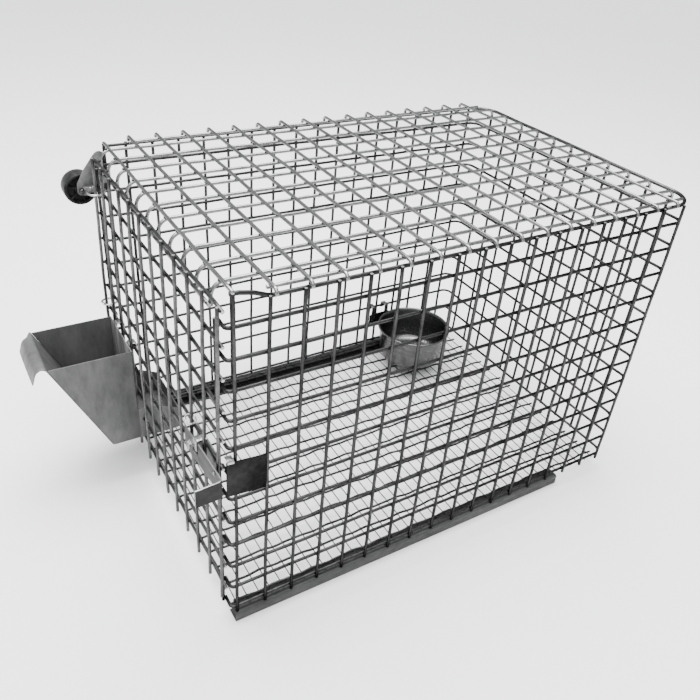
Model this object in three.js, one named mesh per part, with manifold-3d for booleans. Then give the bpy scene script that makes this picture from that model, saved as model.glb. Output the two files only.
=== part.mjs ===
// Small-animal catch cage of welded wire mesh: a mesh body with a hinged end door,
// a sliding strap latch, a hook-on feed hopper, a hook-on cup and a guide wheel.
// Millimetres. X runs from the door end to the blind end, Y from the latch side to
// the hinge side, Z up from the surface that the two runners stand on.

import * as THREE from 'three';
import { mergeVertices } from 'three/addons/utils/BufferGeometryUtils.js';
import Module from 'manifold-3d';

// ---- driving dimensions -----------------------------------------------------------

const PITCH = 25;              // mesh pitch of the body
const WIRE = 2.5;              // distance between the middles of two crossing wires
const WIRE_R = 1.4;            // corner radius of the four-sided wire section
const LONG_GAPS = 17;          // mesh gaps along the body
const WIDE_GAPS = 12;          // mesh gaps across the body
const TALL_GAPS = 11;          // full mesh gaps up the sides

const LENGTH = LONG_GAPS * PITCH;
const WIDTH = WIDE_GAPS * PITCH;
const SIDE_BASE = 16;          // height of the lowest wire of the sides
const SIDE_TOP = 308.2;          // height of the topmost wire of the sides
const ROOF_Z = 311.3;          // height of the lengthwise wires of the roof
const GAP = 0.4;               // clearance between neighbouring pieces

const LIP_X = -4.2;            // plane of the bent-in wires round the doorway
const LIP_REACH = 13;          // how far the lips reach in from the sides
const END_X = LENGTH + 11;     // plane of the horizontal wires of the blind end
const TOP_CORNER_R = 26;       // bend radius of the wire that closes the blind end's top

const DOOR_X = -12.3;          // plane of the upright wires of the door
const DOOR_GAPS = 11;
const DOOR_PITCH = 25.8;
const DOOR_ROW_PITCH = 25.7;
const DOOR_ROWS = 11;
const DOOR_LOW_ROW = 49;       // height of the door's lowest row
const DOOR_STUB = 12;          // how far the uprights stand past the lowest row
const HINGE_Y = DOOR_GAPS * DOOR_PITCH;

const FLOOR_R = 1.1;
const FLOOR_LOW_Z = 13;        // crosswise floor wires, which rest on the runners
const FLOOR_HIGH_Z = 14.9;
const RUNNER_LENGTH = 366;
const RUNNER_HEIGHT = 11.4;
const SHEET = 1.2;

const HOPPER_NEAR = 199;
const HOPPER_FAR = 266;
const HOPPER_BACK = -14.3;
const HOPPER_RIM = 153;
const HOPPER_FLOOR = 51.2;
const HOPPER_FRONT = -88;
const THROAT_TOP = 86;         // top of the feed opening through the door
const TROUGH_X = 25;

const LATCH_LOW = 158;
const LATCH_HIGH = 174;
const LATCH_FOLD_Y = -15;      // where the strap folds out into its finger tab
const LATCH_FACE = -15.5;      // outer face of the latch strap
const LATCH_SCREW_Y = 43;
const LATCH_TRAVEL = 12;
const LATCH_TAB = 20;          // how far the finger tab stands out

const WHEEL_X = -18;
const WHEEL_Z = 266.8;
const WHEEL_R = 14.8;
const WHEEL_NEAR = 307;
const WHEEL_WIDTH = 16;
const AXLE_R = 2;
const GUSSET_NEAR = 303.2;     // face of the wheel's gusset, just outside the far side wall
const FLANGE_NEAR = 294.5;     // edge of the gusset's folded flange
const RIVET_X = -4.2;
const RIVET_Z = 281;
const WASHER_NEAR = 295.4;     // plate under the rivet, just inside the far side wall

const CUP_X = 348;
const CUP_Y = 248.7;
const CUP_R = 45;
const CUP_LOW = 17;
const CUP_HEIGHT = 43;

// ---- solids: joining and cutting ----------------------------------------------------

const wasm = await Module();
wasm.setup();

function signedVolume(geometry) {
  const p = geometry.attributes.position;
  const index = geometry.index.array;
  const [a, b, c] = [new THREE.Vector3(), new THREE.Vector3(), new THREE.Vector3()];
  let sum = 0;
  for (let i = 0; i < index.length; i += 3) {
    a.fromBufferAttribute(p, index[i]);
    b.fromBufferAttribute(p, index[i + 1]);
    c.fromBufferAttribute(p, index[i + 2]);
    sum += a.dot(b.cross(c)) / 6;
  }
  return sum;
}

function toSolid(geometry) {
  const bare = geometry.clone();
  bare.deleteAttribute('normal');
  bare.deleteAttribute('uv');
  const merged = mergeVertices(bare, 1e-4);
  const index = new Uint32Array(merged.index.array);
  if (signedVolume(merged) < 0) index.reverse();
  return new wasm.Manifold(new wasm.Mesh({
    numProp: 3,
    vertProperties: new Float32Array(merged.attributes.position.array),
    triVerts: index,
  }));
}

function toGeometry(solid) {
  const mesh = solid.getMesh();
  const geometry = new THREE.BufferGeometry();
  geometry.setAttribute('position', new THREE.BufferAttribute(mesh.vertProperties, 3));
  geometry.setIndex(new THREE.BufferAttribute(mesh.triVerts, 1));
  return geometry;
}

const join = (geometries) => toGeometry(geometries.map(toSolid).reduce((a, b) => a.add(b)));
const cut = (geometry, tools) => toGeometry(
  tools.map(toSolid).reduce((a, b) => a.subtract(b), toSolid(geometry)),
);

// ---- shapes -------------------------------------------------------------------------

const v = (x, y, z) => new THREE.Vector3(x, y, z);

function block(low, high) {
  const size = high.map((h, i) => h - low[i]);
  const middle = high.map((h, i) => (h + low[i]) / 2);
  return new THREE.BoxGeometry(...size).translate(...middle);
}

// A path through corner points with each corner rounded, whose stations are the ends
// of its straight stretches and the steps of its bends.
class WirePath extends THREE.Curve {
  constructor(corners, radius, bendSteps = 2) {
    super();
    this.stations = [corners[0]];
    for (let i = 1; i < corners.length - 1; i++) {
      const into = corners[i - 1].clone().sub(corners[i]).normalize().multiplyScalar(radius);
      const out = corners[i + 1].clone().sub(corners[i]).normalize().multiplyScalar(radius);
      const centre = corners[i].clone().add(into).add(out);
      for (let k = 0; k <= bendSteps; k++) {
        const angle = (k / bendSteps) * Math.PI / 2;
        this.stations.push(centre.clone()
          .addScaledVector(out, -Math.cos(angle))
          .addScaledVector(into, -Math.sin(angle)));
      }
    }
    this.stations.push(corners[corners.length - 1]);
  }

  get steps() {
    return this.stations.length - 1;
  }

  getPointAt(u, target = new THREE.Vector3()) {
    return target.copy(this.stations[Math.round(u * this.steps)]);
  }

  getTangentAt(u, target = new THREE.Vector3()) {
    const i = Math.round(u * this.steps);
    const before = this.stations[Math.max(i - 1, 0)];
    const here = this.stations[i];
    const after = this.stations[Math.min(i + 1, this.steps)];
    const arriving = here.clone().sub(before).normalize();
    const leaving = after.clone().sub(here).normalize();
    return target.copy(arriving.add(leaving)).normalize();
  }
}

function roundedSection(radius, sides) {
  const points = [];
  for (let i = 0; i < sides; i++) {
    const angle = (i / sides) * 2 * Math.PI;
    points.push(new THREE.Vector2(radius * Math.cos(angle), radius * Math.sin(angle)));
  }
  return new THREE.Shape(points);
}

function wire(corners, { radius = WIRE_R, bend = 0, sides = 4, bendSteps = 2 } = {}) {
  const path = new WirePath(corners, bend, bendSteps);
  return new THREE.ExtrudeGeometry(roundedSection(radius, sides), {
    steps: path.steps,
    bevelEnabled: false,
    extrudePath: path,
  });
}

const range = (count, place) => Array.from({ length: count }, (_, i) => place(i));

const toXZ = new THREE.Matrix4().makeBasis(v(1, 0, 0), v(0, 0, 1), v(0, -1, 0));
const toYZ = new THREE.Matrix4().makeBasis(v(0, 1, 0), v(0, 0, 1), v(1, 0, 0));

// An outline in the X-Z plane, made into a plate from y = near to y = far.
function plateXZ(outline, near, far) {
  const shape = outline instanceof THREE.Shape ? outline
    : new THREE.Shape(outline.map(([x, z]) => new THREE.Vector2(x, z)));
  const options = { depth: far - near, bevelEnabled: false, curveSegments: 5 };
  return new THREE.ExtrudeGeometry(shape, options).applyMatrix4(toXZ).translate(0, far, 0);
}

// An outline in the Y-Z plane, made into a bar from x = start to x = end.
function barYZ(outline, start, end) {
  const shape = new THREE.Shape(outline.map(([y, z]) => new THREE.Vector2(y, z)));
  const options = { depth: end - start, bevelEnabled: false };
  return new THREE.ExtrudeGeometry(shape, options).applyMatrix4(toYZ).translate(start, 0, 0);
}

// The outline of a folded sheet: a line of points and its copy one thickness to the left.
function sheetOutline(points, thickness) {
  const line = points.map(([a, b]) => new THREE.Vector2(a, b));
  const turned = line.map((p, i) => {
    const before = line[Math.max(i - 1, 0)];
    const after = line[Math.min(i + 1, line.length - 1)];
    const arriving = p.clone().sub(i ? before : after).multiplyScalar(i ? 1 : -1).normalize();
    const leaving = after.clone().sub(i < line.length - 1 ? p : before).normalize();
    const way = arriving.clone().add(leaving).normalize();
    const stretch = thickness / Math.max(way.dot(leaving), 0.5);
    return new THREE.Vector2(p.x - way.y * stretch, p.y + way.x * stretch);
  });
  return [...line, ...turned.reverse()].map((p) => [p.x, p.y]);
}

function cylinderY(radius, near, far, x, z, sides = 16) {
  return new THREE.CylinderGeometry(radius, radius, far - near, sides)
    .translate(x, (near + far) / 2, z);
}

function cylinderX(radius, start, end, y, z, sides = 16) {
  return new THREE.CylinderGeometry(radius, radius, end - start, sides)
    .rotateZ(-Math.PI / 2).translate((start + end) / 2, y, z);
}

// ---- body of the cage ------------------------------------------------------------------

const sideRows = [...range(TALL_GAPS + 1, (k) => SIDE_BASE + k * PITCH), SIDE_TOP];
const roofWireY = range(WIDE_GAPS - 1, (k) => 24.5 + k * (PITCH + 0.4));
const roofWireX = [3.2, ...range(LONG_GAPS - 1, (k) => 30 + k * (PITCH + 0.5))];
const topWireStart = 404.4;    // where the blind end's top wire takes over from the top rows

// Side walls: uprights on the outside, rows of wire on the inside.
function sideMesh(wallY, outward) {
  const uprightY = wallY + outward * WIRE / 2;
  const rowY = wallY - outward * WIRE / 2;
  const foot = RUNNER_HEIGHT + GAP;
  const rowEnd = (z) => (z === SIDE_TOP ? topWireStart - GAP : LENGTH + WIRE_R + 0.2);
  const uprightTop = (k) => (k === 0 ? SIDE_TOP + 6.8 : SIDE_TOP + WIRE_R);
  return join([
    ...range(LONG_GAPS + 1, (k) => wire([
      v(k * PITCH, uprightY, foot),
      v(k * PITCH, uprightY, uprightTop(k)),
    ])),
    ...sideRows.map((z) => wire([
      v(-WIRE_R - 0.2, rowY, z),
      v(rowEnd(z), rowY, z),
    ])),
  ]);
}

// Blind end: its rows turn the corners to meet the side walls.
function blindEndMesh() {
  const near = WIRE / 2;
  const far = WIDTH - WIRE / 2;
  const start = LENGTH + WIRE_R + 0.2 + GAP;
  const bend = END_X - start - 0.1;
  return join([
    ...range(WIDE_GAPS - 1, (k) => wire([
      v(END_X + WIRE, (k + 1) * PITCH, RUNNER_HEIGHT + GAP),
      v(END_X + WIRE, (k + 1) * PITCH, SIDE_TOP - 2.6),
    ])),
    ...sideRows.slice(0, -1).map((z) => wire([
      v(start, near, z),
      v(END_X, near, z),
      v(END_X, far, z),
      v(start, far, z),
    ], { bend })),
  ]);
}

// The wire that closes the top of the blind end in two wide bends, outside its uprights.
function blindEndTopWire() {
  const outermost = END_X + 9.6;
  return wire([
    v(topWireStart, WIRE / 2, SIDE_TOP),
    v(outermost, WIRE / 2, SIDE_TOP),
    v(outermost, WIDTH - WIRE / 2, SIDE_TOP),
    v(topWireStart, WIDTH - WIRE / 2, SIDE_TOP),
  ], { bend: TOP_CORNER_R, sides: 8, radius: WIRE_R - 0.1, bendSteps: 8 });
}

// Roof: crosswise wires on top, their tips bent down over the side walls, with a
// lengthwise wire along each edge beneath them.
function roofMesh() {
  const crossZ = ROOF_Z + WIRE;
  const tipY = -WIRE / 2 - 2 * WIRE_R - 0.3;
  const tipZ = SIDE_TOP - 1.5;
  const overEnd = END_X + WIRE + 2 * WIRE_R + 0.5;
  const edgeInset = 6.5;
  return join([
    ...roofWireX.map((x) => wire([
      v(x, tipY, tipZ),
      v(x, tipY, crossZ),
      v(x, WIDTH - tipY, crossZ),
      v(x, WIDTH - tipY, tipZ),
    ], { bend: 5 })),
    ...roofWireY.map((y) => wire([
      v(1, y, ROOF_Z),
      v(overEnd, y, ROOF_Z),
      v(overEnd, y, SIDE_TOP - 6),
    ], { bend: 7 })),
    ...[edgeInset, WIDTH - edgeInset].map((y) => wire([
      v(26, y, ROOF_Z),
      v(431, y, ROOF_Z),
    ])),
  ]);
}

// Lips round the doorway, where the wall wires turn in.
function sideLip(wallY, inward) {
  const rowY = wallY + inward * WIRE / 2;
  const uprightY = wallY + inward * LIP_REACH;
  return join([
    ...sideRows.slice(0, -1).map((z) => wire([
      v(-WIRE_R - 0.2 - GAP, rowY, z),
      v(LIP_X, rowY, z),
      v(LIP_X, uprightY + inward * WIRE_R, z),
    ], { bend: 2 })),
    wire([
      v(LIP_X - WIRE, uprightY, SIDE_BASE - 2.2),
      v(LIP_X - WIRE, uprightY, SIDE_BASE + TALL_GAPS * PITCH + 1.6),
    ]),
  ]);
}

function roofLip() {
  const low = 295.5;
  return join([
    ...roofWireY.map((y) => wire([
      v(1 - GAP, y, ROOF_Z),
      v(LIP_X, y, ROOF_Z),
      v(LIP_X, y, low),
    ], { bend: 4.7 })),
    wire([
      v(LIP_X - WIRE, roofWireY[0] - 3, low + 2),
      v(LIP_X - WIRE, roofWireY[WIDE_GAPS - 2] + 3, low + 2),
    ]),
  ]);
}

function floorMesh() {
  const crossCount = 11;
  const longCount = 8;
  const crossPitch = (LENGTH - 5) / (crossCount - 1);
  const longPitch = (WIDTH - 24) / (longCount - 1);
  return join([
    ...range(crossCount, (k) => wire([
      v(2.5 + k * crossPitch, 1.2, FLOOR_LOW_Z),
      v(2.5 + k * crossPitch, WIDTH - 1.2, FLOOR_LOW_Z),
    ], { radius: FLOOR_R })),
    ...range(longCount, (k) => wire([
      v(0, 12 + k * longPitch, FLOOR_HIGH_Z),
      v(LENGTH, 12 + k * longPitch, FLOOR_HIGH_Z),
    ], { radius: FLOOR_R })),
  ]);
}

// Runners: C sections that open towards each other.
function runner(wallY, inward) {
  const at = (reach) => wallY + inward * reach;
  const web = -2.4;
  return barYZ([
    [at(web), 0],
    [at(11), 0],
    [at(11), SHEET],
    [at(web + SHEET), SHEET],
    [at(web + SHEET), RUNNER_HEIGHT - SHEET],
    [at(9), RUNNER_HEIGHT - SHEET],
    [at(9), RUNNER_HEIGHT],
    [at(web), RUNNER_HEIGHT],
  ], -2, RUNNER_LENGTH);
}

function hingeRing(z) {
  const between = v((DOOR_X + LIP_X - WIRE) / 2, (HINGE_Y + WIDTH - LIP_REACH) / 2, z);
  return new THREE.TorusGeometry(7.4, 1, 6, 16).translate(between.x, between.y, between.z);
}

function latchKeeper() {
  const face = -WIRE / 2 - WIRE_R - 0.3;
  return join([
    block([-8, face - 1.4, 148.5], [23, face, 181]),
    block([-8, face - 0.5, 179.6], [-3.6, 8, 181]),
  ]);
}

// ---- cup ---------------------------------------------------------------------------------

function cup() {
  const wall = 1;
  const outline = [
    [0, 0],
    [CUP_R - 9, 0],
    [CUP_R - 6, 3],
    [CUP_R - 2.2, CUP_HEIGHT - 3],
    [CUP_R, CUP_HEIGHT - 2],
    [CUP_R, CUP_HEIGHT],
    [CUP_R - 2.2 - wall, CUP_HEIGHT],
    [CUP_R - 6 - wall, 3 + wall],
    [CUP_R - 9 - wall, wall],
    [0, wall],
  ].map(([r, h]) => new THREE.Vector2(r, h));
  return join([new THREE.LatheGeometry(outline, 28).rotateX(Math.PI / 2)
    .translate(CUP_X, CUP_Y, CUP_LOW)]);
}

// Hanger: a plate behind the cup with two hooks over a row of the side mesh.
function cupHanger() {
  const plateY = CUP_Y + CUP_R + 0.3;
  const rowZ = SIDE_BASE + 2 * PITCH;
  const over = rowZ + WIRE_R + 0.4;
  const behind = WIDTH - WIRE / 2 + WIRE_R + 0.5;
  const hookProfile = [
    [plateY, 50],
    [plateY + SHEET, 50],
    [plateY + SHEET, over],
    [behind, over],
    [behind, over - 6.5],
    [behind + SHEET, over - 6.5],
    [behind + SHEET, over + SHEET],
    [plateY, over + SHEET],
  ];
  const left = Math.floor((CUP_X - CUP_R) / PITCH) * PITCH;
  return join([
    barYZ(hookProfile, left + 9, left + PITCH - 3),
    barYZ(hookProfile, left + PITCH + 3, left + PITCH + 16),
    block([left + 9, plateY, 44], [left + PITCH + 16, plateY + SHEET, 62]),
  ]);
}

// ---- door ----------------------------------------------------------------------------------

const doorRow = (k) => DOOR_LOW_ROW + k * DOOR_ROW_PITCH;
const doorTop = doorRow(DOOR_ROWS - 1);

function doorMesh() {
  const rowX = DOOR_X + WIRE;
  const whole = join([
    ...range(DOOR_GAPS + 1, (k) => wire([
      v(DOOR_X, k * DOOR_PITCH, DOOR_LOW_ROW - DOOR_STUB),
      v(DOOR_X, k * DOOR_PITCH, doorTop + 2.4),
    ])),
    ...range(DOOR_ROWS, (k) => wire([
      v(rowX, -3, doorRow(k)),
      v(rowX, HINGE_Y + 1.6, doorRow(k)),
    ])),
  ]);
  const window = block(
    [DOOR_X - 5, HOPPER_NEAR - 1.5, DOOR_LOW_ROW + 1.6],
    [rowX + 5, HOPPER_FAR + 1.5, doorRow(2) - 1.6],
  );
  return cut(whole, [window]);
}

const insideDoor = DOOR_X + WIRE + WIRE_R + 0.4;

function latchBackplate() {
  return block([insideDoor, 16.5, 154], [insideDoor + SHEET, 54, 177]);
}

// A bridge over the strap, its feet on the backplate.
function latchGuide() {
  const outer = LATCH_FACE - 0.5;
  const feet = insideDoor - 0.3;
  const bridge = block([outer - SHEET, 28, LATCH_LOW - 1.6], [feet, 34, LATCH_HIGH + 1.6]);
  return cut(bridge, [block([outer, 27, LATCH_LOW - 0.6], [feet + 1, 35, LATCH_HIGH + 0.6])]);
}

function latchScrew() {
  const middle = (LATCH_LOW + LATCH_HIGH) / 2;
  return join([
    cylinderX(1.7, LATCH_FACE - 0.7, insideDoor - 0.3, LATCH_SCREW_Y, middle, 12),
    cylinderX(3.6, LATCH_FACE - 3, LATCH_FACE - 0.5, LATCH_SCREW_Y, middle, 6),
  ]);
}

// Strap: slotted for its screw, with its end folded out as a finger tab.
function latchStrap() {
  const middle = (LATCH_LOW + LATCH_HIGH) / 2;
  const inner = LATCH_FACE + SHEET;
  const strap = join([
    block([LATCH_FACE, LATCH_FOLD_Y, LATCH_LOW], [inner, 56, LATCH_HIGH]),
    block(
      [LATCH_FACE - LATCH_TAB, LATCH_FOLD_Y, LATCH_LOW],
      [inner, LATCH_FOLD_Y + SHEET, LATCH_HIGH],
    ),
  ]);
  const slot = block(
    [LATCH_FACE - 1, LATCH_SCREW_Y - LATCH_TRAVEL - 2.2, middle - 2.1],
    [inner + 1, LATCH_SCREW_Y + 2.2, middle + 2.1],
  );
  return cut(strap, [slot]);
}

// ---- guide wheel ------------------------------------------------------------------------------

// Bracket: an upright gusset outside the cage's far corner, with a flange folded in
// under the wheel's level and a rivet through to a washer plate inside the wall.
function wheelBracket() {
  const thickness = 1.2;
  const nose = 4;
  const foot = WHEEL_Z - 2.3;
  const outline = new THREE.Shape();
  outline.moveTo(5, foot);
  outline.lineTo(5, 301);
  outline.quadraticCurveTo(0, 305.5, -6.6, 297);
  outline.lineTo(-15, 286);
  outline.lineTo(WHEEL_X - nose, WHEEL_Z + 6.2);
  outline.lineTo(WHEEL_X - nose, WHEEL_Z);
  outline.absarc(WHEEL_X, WHEEL_Z, nose, Math.PI, 1.5 * Math.PI, false);
  outline.lineTo(-13, WHEEL_Z - nose - 0.8);
  outline.lineTo(-10.4, foot);
  const gusset = plateXZ(outline, GUSSET_NEAR, GUSSET_NEAR + thickness);
  const flange = block(
    [WHEEL_X + 1, FLANGE_NEAR, WHEEL_Z + 3],
    [-1.8, GUSSET_NEAR + 0.4, WHEEL_Z + 3 + SHEET],
  );
  const eye = cylinderY(AXLE_R + 0.1, GUSSET_NEAR - 5, GUSSET_NEAR + 5, WHEEL_X, WHEEL_Z);
  const rivetHole = cylinderY(1.6, GUSSET_NEAR - 5, GUSSET_NEAR + 5, RIVET_X, RIVET_Z, 12);
  return cut(join([gusset, flange]), [eye, rivetHole]);
}

function bracketWasher() {
  const far = WASHER_NEAR + SHEET;
  const plate = block([-8, WASHER_NEAR, RIVET_Z - 6], [4, far, RIVET_Z + 6]);
  return cut(plate, [cylinderY(1.6, WASHER_NEAR - 1, far + 1, RIVET_X, RIVET_Z, 12)]);
}

function bracketRivet() {
  const inner = WASHER_NEAR - 1.5;
  const outer = GUSSET_NEAR + 2.7;
  return join([
    cylinderY(1.3, inner + 0.2, outer - 0.2, RIVET_X, RIVET_Z, 12),
    cylinderY(2.8, inner, inner + 1.2, RIVET_X, RIVET_Z, 12),
    cylinderY(2.8, outer - 1.2, outer, RIVET_X, RIVET_Z, 12),
  ]);
}

function wheelAxle() {
  const head = GUSSET_NEAR - 2.5;
  const spacer = GUSSET_NEAR + 1.5;
  const end = WHEEL_NEAR + WHEEL_WIDTH;
  return join([
    cylinderY(AXLE_R, head + 0.5, end + 1, WHEEL_X, WHEEL_Z),
    cylinderY(2.7, head, head + 2.2, WHEEL_X, WHEEL_Z),
    cylinderY(3.4, spacer, spacer + 2, WHEEL_X, WHEEL_Z),
    cylinderY(3.4, end + 0.3, end + 2, WHEEL_X, WHEEL_Z),
  ]);
}

// Wheel: a plain tread over a thin web, stiffened by ribs on both sides.
function wheel() {
  const bore = AXLE_R + 0.12;
  const hub = 5;
  const rimInner = 12;
  const web = 4;
  const outline = [
    [bore, 0],
    [hub, 0],
    [hub, web],
    [rimInner, web],
    [rimInner, 0],
    [WHEEL_R - 0.7, 0],
    [WHEEL_R, 0.7],
    [WHEEL_R, WHEEL_WIDTH - 0.7],
    [WHEEL_R - 0.7, WHEEL_WIDTH],
    [rimInner, WHEEL_WIDTH],
    [rimInner, WHEEL_WIDTH - web],
    [hub, WHEEL_WIDTH - web],
    [hub, WHEEL_WIDTH],
    [bore, WHEEL_WIDTH],
    [bore, 0],
  ].map(([r, y]) => new THREE.Vector2(r, y));
  const ribs = range(6, (k) => block([hub - 0.8, 0.8, -0.6], [rimInner + 0.4, web + 1, 0.6])
    .rotateY((k * Math.PI) / 3 + 0.3));
  return join([new THREE.LatheGeometry(outline, 22), ...ribs])
    .translate(WHEEL_X, WHEEL_NEAR, WHEEL_Z);
}

// ---- feed hopper ---------------------------------------------------------------------------------

const hopperSheet = 1;

function hopperBody() {
  const foot = -40;
  const cheek = [
    [HOPPER_BACK, HOPPER_FLOOR],
    [HOPPER_BACK, HOPPER_RIM],
    [HOPPER_FRONT, HOPPER_RIM],
    [foot - 2, HOPPER_FLOOR + 3],
    [foot + 2, HOPPER_FLOOR],
  ];
  const front = [
    [HOPPER_FRONT - 13, HOPPER_RIM - 13],
    [HOPPER_FRONT - 11, HOPPER_RIM - 3],
    [HOPPER_FRONT - 8, HOPPER_RIM + 2],
    [HOPPER_FRONT - 4, HOPPER_RIM + 2.5],
    [HOPPER_FRONT, HOPPER_RIM],
    [foot - 2, HOPPER_FLOOR + 3],
    [foot + 2, HOPPER_FLOOR],
    [HOPPER_BACK, HOPPER_FLOOR],
  ];
  return join([
    plateXZ(cheek, HOPPER_NEAR, HOPPER_NEAR + hopperSheet),
    plateXZ(cheek, HOPPER_FAR - hopperSheet, HOPPER_FAR),
    plateXZ(sheetOutline(front, hopperSheet), HOPPER_NEAR, HOPPER_FAR),
    block([HOPPER_BACK - hopperSheet, HOPPER_NEAR, THROAT_TOP], [HOPPER_BACK, HOPPER_FAR, HOPPER_RIM]),
  ]);
}

// Trough: reaches through the door's window and holds the feed inside the cage.
function feedTrough() {
  const start = HOPPER_BACK + 0.3;
  const outer = block([start, HOPPER_NEAR, HOPPER_FLOOR], [TROUGH_X, HOPPER_FAR, THROAT_TOP]);
  const inside = block(
    [start - 1, HOPPER_NEAR + hopperSheet, HOPPER_FLOOR + hopperSheet],
    [TROUGH_X - hopperSheet, HOPPER_FAR - hopperSheet, THROAT_TOP + 1],
  );
  const slope = plateXZ([
    [0, THROAT_TOP + 1],
    [TROUGH_X + 1, THROAT_TOP + 1],
    [TROUGH_X + 1, THROAT_TOP - 12],
  ], HOPPER_NEAR - 1, HOPPER_FAR + 1);
  return cut(outer, [inside, slope]);
}

// Hook: from the back of the hopper over a row of the door.
function hopperHook(near) {
  const rowZ = doorRow(4);
  const over = rowZ + WIRE_R + 0.5;
  const behind = insideDoor;
  const start = HOPPER_BACK + 0.3;
  return plateXZ([
    [start, 128],
    [start + 0.9, 128],
    [start + 0.9, over],
    [behind, over],
    [behind, over - 7],
    [behind + hopperSheet, over - 7],
    [behind + hopperSheet, over + hopperSheet],
    [start, over + hopperSheet],
  ], near, near + 8);
}

// ---- assembly ---------------------------------------------------------------------------------------

function metal(color, roughness, metalness = 1) {
  return new THREE.MeshStandardMaterial({ color, roughness, metalness });
}

const galvanised = () => metal(0x9fa1a0, 0.42);
const bright = () => metal(0xb9bbbb, 0.3);
const darkSheet = () => metal(0x6a6c6d, 0.5);
const hopperSteel = () => metal(0x8d8f8f, 0.38);
const blackPlastic = () => metal(0x141414, 0.45, 0);

function piece(name, geometry, material) {
  const mesh = new THREE.Mesh(geometry, material);
  mesh.name = name;
  return mesh;
}

const body = new THREE.Group();
body.add(
  piece('near_side_mesh', sideMesh(0, -1), galvanised()),
  piece('far_side_mesh', sideMesh(WIDTH, 1), galvanised()),
  piece('blind_end_mesh', blindEndMesh(), galvanised()),
  piece('blind_end_top_wire', blindEndTopWire(), bright()),
  piece('roof_mesh', roofMesh(), galvanised()),
  piece('doorway_lip_near', sideLip(0, 1), galvanised()),
  piece('doorway_lip_far', sideLip(WIDTH, -1), galvanised()),
  piece('doorway_lip_top', roofLip(), galvanised()),
  piece('floor_mesh', floorMesh(), galvanised()),
  piece('runner_near', runner(0, 1), darkSheet()),
  piece('runner_far', runner(WIDTH, -1), darkSheet()),
  piece('latch_keeper', latchKeeper(), darkSheet()),
  piece('wheel_bracket', wheelBracket(), hopperSteel()),
  piece('bracket_washer', bracketWasher(), hopperSteel()),
  piece('bracket_rivet', bracketRivet(), bright()),
  piece('wheel_axle', wheelAxle(), bright()),
  piece('wheel', wheel(), blackPlastic()),
);
const ringHeights = { low: 57, middle: 158, high: 272.4 };
for (const [place, z] of Object.entries(ringHeights)) {
  body.add(piece(`hinge_ring_${place}`, hingeRing(z), bright()));
}

const cupGroup = new THREE.Group();
cupGroup.add(piece('cup', cup(), bright()), piece('cup_hanger', cupHanger(), darkSheet()));

const door = new THREE.Group();
door.add(
  piece('door_mesh', doorMesh(), galvanised()),
  piece('latch_backplate', latchBackplate(), darkSheet()),
  piece('latch_guide', latchGuide(), bright()),
  piece('latch_screw', latchScrew(), bright()),
  piece('latch_strap', latchStrap(), darkSheet()),
);

const feeder = new THREE.Group();
feeder.add(
  piece('hopper_body', hopperBody(), hopperSteel()),
  piece('feed_trough', feedTrough(), hopperSteel()),
  piece('hopper_hook_near', hopperHook(HOPPER_NEAR + 9.5), hopperSteel()),
  piece('hopper_hook_far', hopperHook(HOPPER_FAR - 19), hopperSteel()),
);
door.add(feeder);

const cage = new THREE.Group();
cage.add(body, cupGroup, door);

// The origin is at the middle of the underside of the whole cage's box.
const box = new THREE.Box3().setFromObject(cage);
cage.position.set(-(box.min.x + box.max.x) / 2, -(box.min.y + box.max.y) / 2, -box.min.z);

export default cage;
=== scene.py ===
import math
import random

import bmesh
import bpy
from mathutils import Matrix, Quaternion, Vector


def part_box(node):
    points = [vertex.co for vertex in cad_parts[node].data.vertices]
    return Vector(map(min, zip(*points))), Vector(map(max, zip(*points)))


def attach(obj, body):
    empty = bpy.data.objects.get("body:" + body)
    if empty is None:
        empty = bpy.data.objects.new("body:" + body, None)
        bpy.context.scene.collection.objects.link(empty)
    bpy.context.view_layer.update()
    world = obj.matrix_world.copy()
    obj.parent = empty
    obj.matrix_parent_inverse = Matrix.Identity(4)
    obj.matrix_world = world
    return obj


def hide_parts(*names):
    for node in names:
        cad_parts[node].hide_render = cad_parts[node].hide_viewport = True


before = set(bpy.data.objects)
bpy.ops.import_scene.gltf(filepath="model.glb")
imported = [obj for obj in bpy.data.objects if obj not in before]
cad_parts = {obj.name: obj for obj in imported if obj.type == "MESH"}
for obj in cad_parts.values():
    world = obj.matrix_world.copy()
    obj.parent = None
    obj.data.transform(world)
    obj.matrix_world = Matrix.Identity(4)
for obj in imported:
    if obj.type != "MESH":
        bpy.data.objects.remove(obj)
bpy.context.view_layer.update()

# ---- the cage's own coordinates, in millimetres ---------------------------------------
# x runs from the door end's first upright, y from the latch side wall, z up from the
# ground. The near side wall's box ties them to the frame.

wall_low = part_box("near_side_mesh")[0] * 1000
BOX_TO_UPRIGHT = 1.6
BOX_TO_WALL = 2.65
ORIGIN = Vector((wall_low.x + BOX_TO_UPRIGHT, wall_low.y + BOX_TO_WALL, 0))


def at(x, y, z):
    return Vector((x + ORIGIN.x, y + ORIGIN.y, z)) / 1000


# walls: the rows lie inside a wall's plane and the uprights outside it, ROW_Y each way
LENGTH = 425
WIDTH = 300
PITCH = 25
WIRE_R = 1.45
ROW_Y = 1.25
UPRIGHTS = 18
END_UPRIGHTS = 11
UPRIGHT_FOOT = 11.8
SIDE_ROWS = [16 + PITCH * k for k in range(12)]
SIDE_TOP = 308.2
LIP_X = -4.2
LIP_UPRIGHT_X = -6.7
LIP_UPRIGHT_Y = 13
LIP_TOP = 297.5
END_X = 436
END_UPRIGHT_X = 438.5
# roof: crosswise wires at CROSS_Z lie on lengthwise ones at LONG_Z
CROSS_Z = 313.8
LONG_Z = 311.3
ROOF_X = [1.8] + [28.4 + 25.6 * k for k in range(16)]
ROOF_Y = [24.5 + 25.4 * k for k in range(11)]
TOP_CORNER_R = 26
TOP_WIRE_X = 445.6

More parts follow.
